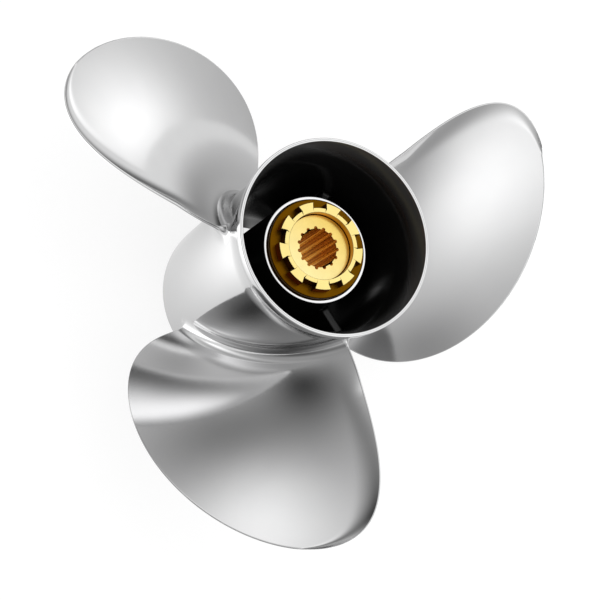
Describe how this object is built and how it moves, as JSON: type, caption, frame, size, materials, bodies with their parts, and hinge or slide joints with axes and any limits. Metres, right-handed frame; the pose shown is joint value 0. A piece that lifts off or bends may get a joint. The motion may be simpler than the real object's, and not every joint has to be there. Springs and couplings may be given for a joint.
{
  "type": "through-hub exhaust boat propeller",
  "caption": "Polished steel boat propeller with wide raked blades, an open flared exhaust hub, internal ribs and a splined brass insert with a castellated ring.",
  "frame": {"origin": "on the shaft's axis, level with the front end of the hub, on which the propeller stands", "axes": "+Z aft along the shaft's axis, towards the flared open end; +Y along the root of blade 1"},
  "size_m": [0.3119, 0.301, 0.1535],
  "materials": {
    "polished_steel": "mirror-polished stainless steel",
    "hub_steel": "dark, as cast and lightly blasted inside the hub",
    "brass": "machined",
    "rubber": "moulded"
  },
  "bodies": {
    "root": {"hub_barrel": "polished_steel", "inner_hub": "hub_steel", "rib_1": "hub_steel", "rib_2": "hub_steel", "rib_3": "hub_steel", "blade_1": "polished_steel", "blade_2": "polished_steel", "blade_3": "polished_steel", "insert_shell": "brass", "castellated_ring": "brass", "spline_sleeve": "brass", "rubber_bushing": "rubber"}
  },
  "joints": []
}
